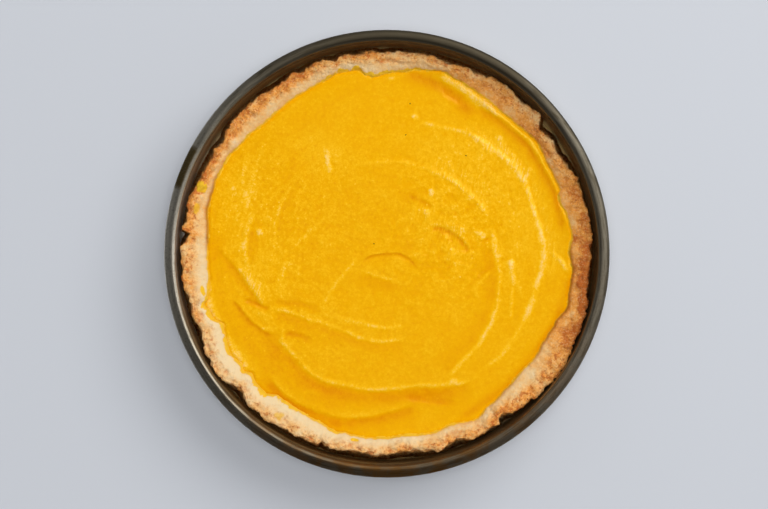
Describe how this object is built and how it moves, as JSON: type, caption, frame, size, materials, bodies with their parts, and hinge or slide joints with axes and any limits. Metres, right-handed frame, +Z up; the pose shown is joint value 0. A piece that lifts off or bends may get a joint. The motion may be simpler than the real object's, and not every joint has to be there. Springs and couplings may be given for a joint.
{
  "type": "pumpkin pie in its tin",
  "caption": "Open round pie of smooth yellow filling in a ragged shortcrust case, baked and served in a deep round steel tin with a rolled rim.",
  "frame": {"origin": "centre of the tin's underside, where it stands", "axes": "+Z up out of the pie, +X and +Y across it"},
  "size_m": [0.258, 0.258, 0.046],
  "materials": {
    "tin_steel": "dark satin bakeware with light wear and a few baked-on stains",
    "baked_crust": "matt baked shortcrust, pale inside and toasted along its edge",
    "pumpkin_filling": "smooth moist puree with soft palette-knife marks"
  },
  "bodies": {
    "root": {"tin": "tin_steel", "crust": "baked_crust", "filling": "pumpkin_filling"}
  },
  "joints": []
}
